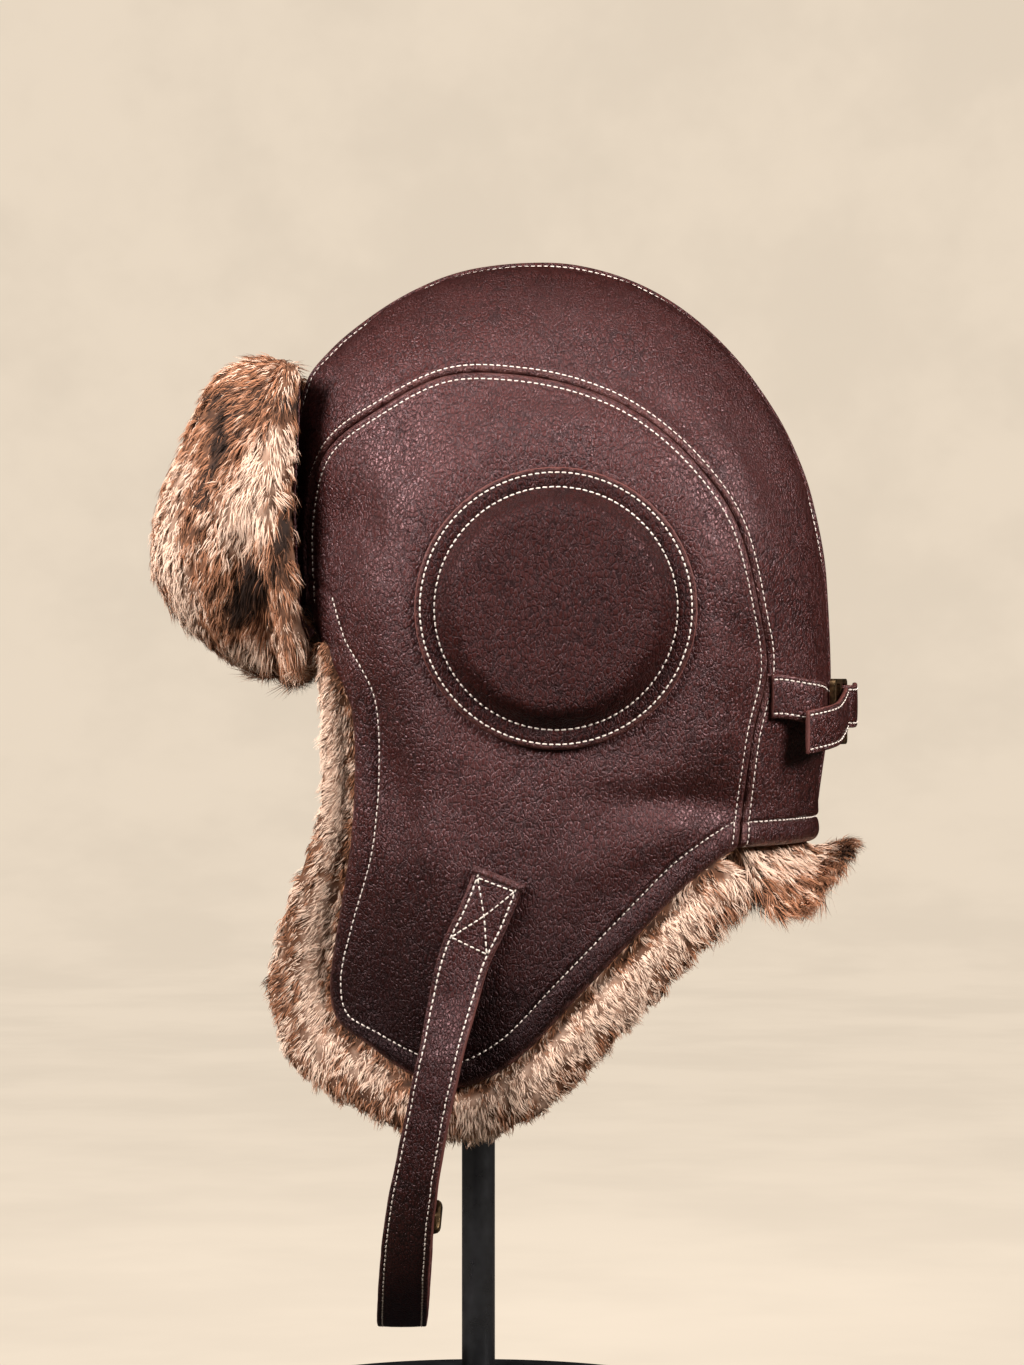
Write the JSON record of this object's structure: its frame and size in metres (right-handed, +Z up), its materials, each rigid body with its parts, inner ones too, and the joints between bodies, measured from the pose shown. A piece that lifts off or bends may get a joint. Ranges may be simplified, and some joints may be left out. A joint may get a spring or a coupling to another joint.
{
  "type": "leather flying helmet on a plain stand",
  "caption": "Brown leather flying helmet with padded ear discs, a fur lining, a turned-up fur forehead flap and a looped chin strap, held on a plain black post stand.",
  "frame": {"origin": "centre of the underside of the stand's base, on the axis of the post", "axes": "+Z up along the post; the wearer's face looks towards -Y and the wearer's left is +X"},
  "size_m": [0.2018, 0.292, 0.4653],
  "materials": {
    "brown_leather": "satin, pebbled grain",
    "disc_leather": "satin, pebbled grain",
    "fur": "long fur, brown at the root and cream at the tip",
    "bronze": "dark antique",
    "black_paint": "satin"
  },
  "bodies": {
    "root": {"crown_panel_left": "brown_leather", "side_panel_left": "brown_leather", "ear_disc_left": "disc_leather", "fur_lining_left": "fur", "crown_panel_right": "brown_leather", "side_panel_right": "brown_leather", "ear_disc_right": "disc_leather", "fur_lining_right": "fur", "fur_lining_nape": "fur", "forehead_flap": "brown_leather", "forehead_fur": "fur", "chin_strap_left": "brown_leather", "chin_strap_right": "brown_leather", "chin_clasp": "bronze", "back_strap_left": "brown_leather", "back_strap_right": "brown_leather", "back_buckle": "bronze", "stand_base": "black_paint", "stand_post": "black_paint", "stand_head": "black_paint"}
  },
  "joints": []
}
